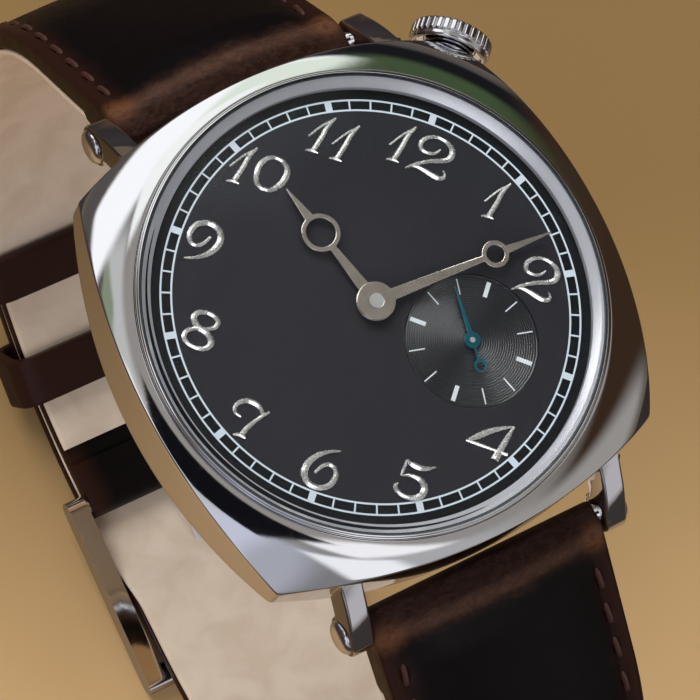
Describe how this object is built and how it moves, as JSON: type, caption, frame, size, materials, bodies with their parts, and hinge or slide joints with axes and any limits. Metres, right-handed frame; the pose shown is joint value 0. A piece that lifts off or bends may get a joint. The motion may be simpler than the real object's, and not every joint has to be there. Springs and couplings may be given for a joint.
{
  "type": "wristwatch",
  "caption": "Cushion-cased quartz wristwatch with small seconds, a fluted corner crown and a buckled leather strap that forms a closed loop.",
  "frame": {"origin": "centre of the case back's outer face", "axes": "+Z out of the case towards the dial's viewer; +Y along the strap towards the half with the buckle; +X to the side of the case next to it, so that the crown points between +X and +Y"},
  "size_m": [0.0385, 0.0804, 0.0768],
  "materials": {
    "polished_steel": "mirror polish",
    "satin_steel": "fine satin",
    "crystal_glass": "clear polished",
    "clear_gasket": "smooth",
    "black_rubber": "matt",
    "dial_grey": "matt anthracite with fine brushing",
    "sub_dial_grey": "fine concentric grooves",
    "applied_silver": "diamond cut",
    "hand_silver": "satin with bright edges",
    "blue_steel": "satin blue-green",
    "nickel_plate": "fine grain",
    "gilt_brass": "satin",
    "cell_steel": "bright",
    "green_board": "lacquered",
    "black_resin": "matt",
    "soft_iron": "dull",
    "magnet": "ground",
    "copper_wire": "enamelled",
    "white_plastic": "moulded",
    "brown_leather": "oiled, worn at the edges",
    "lining_leather": "smooth, undyed"
  },
  "bodies": {
    "case": {"case_middle": "polished_steel", "lugs": "polished_steel", "bezel_ring": "polished_steel", "crystal": "crystal_glass", "crystal_gasket": "clear_gasket", "rehaut_ring": "satin_steel", "case_back": "satin_steel", "case_back_gasket": "black_rubber", "dial_plate": "dial_grey", "seconds_dial": "sub_dial_grey", "numerals": "applied_silver", "movement_holder": "white_plastic", "main_plate": "nickel_plate", "train_bridge": "nickel_plate", "movement_screws": "polished_steel", "battery": "cell_steel", "battery_clamp": "satin_steel", "circuit_board": "green_board", "chip": "black_resin", "quartz_can": "cell_steel", "coil_core": "soft_iron", "coil_winding": "copper_wire", "stator": "soft_iron", "crown_tube": "polished_steel", "lug_bars": "polished_steel", "strap_upper": "brown_leather", "strap_upper_lining": "lining_leather", "strap_lower": "brown_leather", "strap_lower_lining": "lining_leather", "fixed_keeper": "brown_leather", "buckle_bar": "polished_steel"},
    "minute_set": {"minute_hand": "hand_silver", "cannon_pinion": "polished_steel", "centre_wheel": "gilt_brass"},
    "hour_set": {"hour_hand": "hand_silver", "hour_wheel": "gilt_brass"},
    "minute_wheel_body": {"minute_wheel": "gilt_brass"},
    "third_set": {"third_wheel": "gilt_brass"},
    "seconds_set": {"seconds_hand": "blue_steel", "seconds_wheel": "gilt_brass"},
    "fifth_set": {"fifth_wheel": "gilt_brass"},
    "rotor_set": {"rotor": "magnet"},
    "clutch": {"clutch_wheel": "satin_steel"},
    "crown_set": {"crown": "polished_steel", "winding_stem": "satin_steel", "crown_gasket": "black_rubber"},
    "lever": {"setting_lever": "satin_steel"},
    "buckle": {"buckle_frame": "polished_steel"},
    "tongue": {"buckle_tongue": "polished_steel"},
    "loose_keeper": {"floating_keeper": "brown_leather"}
  },
  "joints": [
    {"name": "minute_turn", "type": "hinge", "parent": "case", "child": "minute_set", "pos_m": [0, 0, 0.0042], "axis": [0, 0, -1], "continuous": true},
    {"name": "hour_turn", "type": "hinge", "parent": "case", "child": "hour_set", "pos_m": [0, 0, 0.0042], "axis": [0, 0, -1], "continuous": true},
    {"name": "minute_wheel_turn", "type": "hinge", "parent": "case", "child": "minute_wheel_body", "pos_m": [-0.0005, 0.00284, 0.0042], "axis": [0, 0, -1], "continuous": true},
    {"name": "third_turn", "type": "hinge", "parent": "case", "child": "third_set", "pos_m": [0.00399, -0.00166, 0.0042], "axis": [0, 0, -1], "continuous": true},
    {"name": "seconds_turn", "type": "hinge", "parent": "case", "child": "seconds_set", "pos_m": [0.00547, -0.00547, 0.0042], "axis": [0, 0, -1], "continuous": true},
    {"name": "fifth_turn", "type": "hinge", "parent": "case", "child": "fifth_set", "pos_m": [0.00473, -0.0075, 0.0042], "axis": [0, 0, -1], "continuous": true},
    {"name": "rotor_turn", "type": "hinge", "parent": "case", "child": "rotor_set", "pos_m": [0.00287, -0.00782, 0.0042], "axis": [0, 0, -1], "continuous": true},
    {"name": "crown_turn", "type": "hinge", "parent": "case", "child": "clutch", "pos_m": [0, 0, 0.0042], "axis": [0.7071, 0.7071, 0], "continuous": true},
    {"name": "crown_pull", "type": "slide", "parent": "clutch", "child": "crown_set", "axis": [0.7071, 0.7071, 0], "range_m": [0, 0.0009]},
    {"name": "lever_swing", "type": "hinge", "parent": "case", "child": "lever", "pos_m": [0.00955, 0.00601, 0.0042], "axis": [0, 0, -1], "range_deg": [0, 21.2]},
    {"name": "buckle_swing", "type": "hinge", "parent": "case", "child": "buckle", "pos_m": [0, 0.005, -0.0625], "axis": [1, 0, 0], "range_deg": [0, 2]},
    {"name": "tongue_swing", "type": "hinge", "parent": "buckle", "child": "tongue", "pos_m": [0, 0.005, -0.0625], "axis": [1, 0, 0], "range_deg": [0, 1.5]},
    {"name": "keeper_slide", "type": "hinge", "parent": "case", "child": "loose_keeper", "pos_m": [0, 0.0055, -0.0305], "axis": [1, 0, 0], "range_deg": [-9, 28]}
  ],
  "couplings": [
    {"joint": "hour_turn", "follows": "minute_turn", "ratio": 0.083333},
    {"joint": "minute_wheel_turn", "follows": "minute_turn", "ratio": -0.33333},
    {"joint": "third_turn", "follows": "minute_turn", "ratio": -8},
    {"joint": "seconds_turn", "follows": "minute_turn", "ratio": 60},
    {"joint": "fifth_turn", "follows": "minute_turn", "ratio": -300},
    {"joint": "rotor_turn", "follows": "minute_turn", "ratio": 1800},
    {"joint": "lever_swing", "follows": "crown_pull", "rad_per_m": 409.18}
  ]
}
